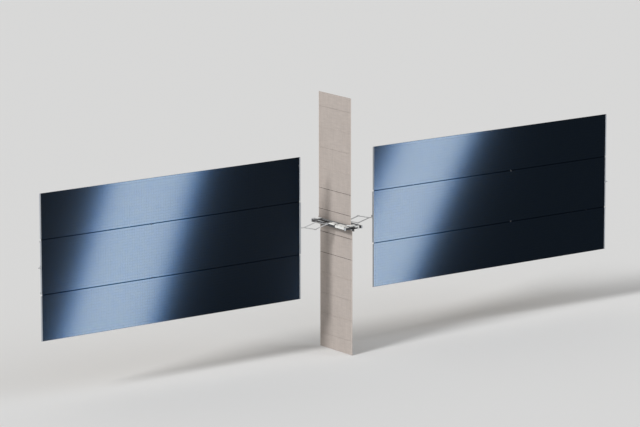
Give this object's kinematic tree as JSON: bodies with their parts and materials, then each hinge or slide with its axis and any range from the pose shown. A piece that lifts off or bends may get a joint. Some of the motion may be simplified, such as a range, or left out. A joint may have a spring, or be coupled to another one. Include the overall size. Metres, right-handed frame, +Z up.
{
  "type": "satellite",
  "caption": "Flat-bodied satellite with a long three-strip solar wing on a yoke at each side and a folding radiator above and below.",
  "frame": {"origin": "on the wing axis, midway between the two wing drives, at the top face of the flat bus", "axes": "+X along the wing axis towards the right wing, +Y to the far end of the bus (the solar cells face -Y), +Z up along the upper radiator"},
  "size_m": [39.72, 3.316, 14.694],
  "materials": {
    "tray_dark": "black insulation film over metal, low sheen",
    "rail_grey": "milled, lightly oxidised",
    "light_metal": "clear anodised, satin",
    "white_paint": "white thermal paint, matt",
    "white_wrap": "white woven insulation sleeve",
    "black_anodised": "black anodised, matt",
    "thruster_metal": "bead blasted",
    "radiator_coat": "pale warm grey thermal coating over a light sandwich panel, matt",
    "boom_composite": "light grey coated tube",
    "mast_composite": "grey composite tube, satin",
    "solar_cells": "dark blue cells under clear cover, glossy"
  },
  "bodies": {
    "bus": {"bus_tray": "tray_dark", "rail_left": "rail_grey", "rail_right": "rail_grey", "corner_fittings": "light_metal", "hood": "white_paint", "case_front": "white_paint", "case_rear": "white_paint", "coolant_line_front": "white_wrap", "coolant_line_rear": "white_wrap", "lower_unions": "light_metal", "star_trackers": "black_anodised", "thruster": "thruster_metal", "wing_drives": "white_paint", "radiator_root_upper": "light_metal", "radiator_root_lower": "light_metal"},
    "panel_upper_1": {"radiator_upper_1": "radiator_coat"},
    "panel_upper_2": {"radiator_upper_2": "radiator_coat"},
    "panel_upper_3": {"radiator_upper_3": "radiator_coat"},
    "panel_upper_4": {"radiator_upper_4": "radiator_coat"},
    "panel_upper_5": {"radiator_upper_5": "radiator_coat"},
    "panel_upper_6": {"radiator_upper_6": "radiator_coat"},
    "panel_upper_7": {"radiator_upper_7": "radiator_coat"},
    "panel_lower_1": {"radiator_lower_1": "radiator_coat"},
    "panel_lower_2": {"radiator_lower_2": "radiator_coat"},
    "panel_lower_3": {"radiator_lower_3": "radiator_coat"},
    "panel_lower_4": {"radiator_lower_4": "radiator_coat"},
    "panel_lower_5": {"radiator_lower_5": "radiator_coat"},
    "panel_lower_6": {"radiator_lower_6": "radiator_coat"},
    "panel_lower_7": {"radiator_lower_7": "radiator_coat"},
    "wing_left": {"yoke_left": "boom_composite", "mast_left": "mast_composite", "root_bar_middle_left": "light_metal", "tip_bar_middle_left": "light_metal", "blanket_middle_left": "solar_cells", "seam_clips_left": "light_metal"},
    "strip_upper_left": {"root_bar_upper_left": "light_metal", "tip_bar_upper_left": "light_metal", "blanket_upper_left": "solar_cells"},
    "strip_lower_left": {"root_bar_lower_left": "light_metal", "tip_bar_lower_left": "light_metal", "blanket_lower_left": "solar_cells"},
    "wing_right": {"yoke_right": "boom_composite", "mast_right": "mast_composite", "root_bar_middle_right": "light_metal", "tip_bar_middle_right": "light_metal", "blanket_middle_right": "solar_cells", "seam_clips_right": "light_metal"},
    "strip_upper_right": {"root_bar_upper_right": "light_metal", "tip_bar_upper_right": "light_metal", "blanket_upper_right": "solar_cells"},
    "strip_lower_right": {"root_bar_lower_right": "light_metal", "tip_bar_lower_right": "light_metal", "blanket_lower_right": "solar_cells"}
  },
  "joints": [
    {"name": "wing_drive_left", "type": "hinge", "parent": "bus", "child": "wing_left", "pos_m": [-0.64, 0, 0], "axis": [1, 0, 0], "continuous": true},
    {"name": "strip_fold_upper_left", "type": "hinge", "parent": "wing_left", "child": "strip_upper_left", "pos_m": [-2.57, -0.036, 1.513], "axis": [1, 0, 0], "range_deg": [0, 180]},
    {"name": "strip_fold_lower_left", "type": "hinge", "parent": "wing_left", "child": "strip_lower_left", "pos_m": [-2.57, -0.072, -1.513], "axis": [-1, 0, 0], "range_deg": [0, 180]},
    {"name": "wing_drive_right", "type": "hinge", "parent": "bus", "child": "wing_right", "pos_m": [0.64, 0, 0], "axis": [1, 0, 0], "continuous": true},
    {"name": "strip_fold_upper_right", "type": "hinge", "parent": "wing_right", "child": "strip_upper_right", "pos_m": [2.57, -0.036, 1.513], "axis": [1, 0, 0], "range_deg": [0, 180]},
    {"name": "strip_fold_lower_right", "type": "hinge", "parent": "wing_right", "child": "strip_lower_right", "pos_m": [2.57, -0.072, -1.513], "axis": [-1, 0, 0], "range_deg": [0, 180]},
    {"name": "radiator_upper_root", "type": "hinge", "parent": "bus", "child": "panel_upper_1", "pos_m": [-0.12, 0, 0.085], "axis": [0, 1, 0], "range_deg": [0, 90]},
    {"name": "radiator_upper_hinge_2", "type": "hinge", "parent": "panel_upper_1", "child": "panel_upper_2", "pos_m": [-0.16, 0, 0.65], "axis": [0, 1, 0], "range_deg": [-180, 0]},
    {"name": "radiator_upper_hinge_3", "type": "hinge", "parent": "panel_upper_2", "child": "panel_upper_3", "pos_m": [-0.12, 0, 1.82], "axis": [0, 1, 0], "range_deg": [0, 180]},
    {"name": "radiator_upper_hinge_4", "type": "hinge", "parent": "panel_upper_3", "child": "panel_upper_4", "pos_m": [-0.16, 0, 2.99], "axis": [0, 1, 0], "range_deg": [-180, 0]},
    {"name": "radiator_upper_hinge_5", "type": "hinge", "parent": "panel_upper_4", "child": "panel_upper_5", "pos_m": [-0.12, 0, 4.16], "axis": [0, 1, 0], "range_deg": [0, 180]},
    {"name": "radiator_upper_hinge_6", "type": "hinge", "parent": "panel_upper_5", "child": "panel_upper_6", "pos_m": [-0.16, 0, 5.33], "axis": [0, 1, 0], "range_deg": [-180, 0]},
    {"name": "radiator_upper_hinge_7", "type": "hinge", "parent": "panel_upper_6", "child": "panel_upper_7", "pos_m": [-0.12, 0, 6.5], "axis": [0, 1, 0], "range_deg": [0, 180]},
    {"name": "radiator_lower_root", "type": "hinge", "parent": "bus", "child": "panel_lower_1", "pos_m": [-0.02, 0, -0.205], "axis": [0, -1, 0], "range_deg": [0, 90]},
    {"name": "radiator_lower_hinge_2", "type": "hinge", "parent": "panel_lower_1", "child": "panel_lower_2", "pos_m": [-0.06, 0, -0.73], "axis": [0, -1, 0], "range_deg": [-180, 0]},
    {"name": "radiator_lower_hinge_3", "type": "hinge", "parent": "panel_lower_2", "child": "panel_lower_3", "pos_m": [-0.02, 0, -1.9], "axis": [0, -1, 0], "range_deg": [0, 180]},
    {"name": "radiator_lower_hinge_4", "type": "hinge", "parent": "panel_lower_3", "child": "panel_lower_4", "pos_m": [-0.06, 0, -3.07], "axis": [0, -1, 0], "range_deg": [-180, 0]},
    {"name": "radiator_lower_hinge_5", "type": "hinge", "parent": "panel_lower_4", "child": "panel_lower_5", "pos_m": [-0.02, 0, -4.24], "axis": [0, -1, 0], "range_deg": [0, 180]},
    {"name": "radiator_lower_hinge_6", "type": "hinge", "parent": "panel_lower_5", "child": "panel_lower_6", "pos_m": [-0.06, 0, -5.41], "axis": [0, -1, 0], "range_deg": [-180, 0]},
    {"name": "radiator_lower_hinge_7", "type": "hinge", "parent": "panel_lower_6", "child": "panel_lower_7", "pos_m": [-0.02, 0, -6.58], "axis": [0, -1, 0], "range_deg": [0, 180]}
  ],
  "couplings": [
    {"joint": "radiator_upper_hinge_2", "follows": "radiator_upper_root", "ratio": -2},
    {"joint": "radiator_upper_hinge_3", "follows": "radiator_upper_root", "ratio": 2},
    {"joint": "radiator_upper_hinge_4", "follows": "radiator_upper_root", "ratio": -2},
    {"joint": "radiator_upper_hinge_5", "follows": "radiator_upper_root", "ratio": 2},
    {"joint": "radiator_upper_hinge_6", "follows": "radiator_upper_root", "ratio": -2},
    {"joint": "radiator_upper_hinge_7", "follows": "radiator_upper_root", "ratio": 2},
    {"joint": "radiator_lower_hinge_2", "follows": "radiator_lower_root", "ratio": -2},
    {"joint": "radiator_lower_hinge_3", "follows": "radiator_lower_root", "ratio": 2},
    {"joint": "radiator_lower_hinge_4", "follows": "radiator_lower_root", "ratio": -2},
    {"joint": "radiator_lower_hinge_5", "follows": "radiator_lower_root", "ratio": 2},
    {"joint": "radiator_lower_hinge_6", "follows": "radiator_lower_root", "ratio": -2},
    {"joint": "radiator_lower_hinge_7", "follows": "radiator_lower_root", "ratio": 2}
  ]
}
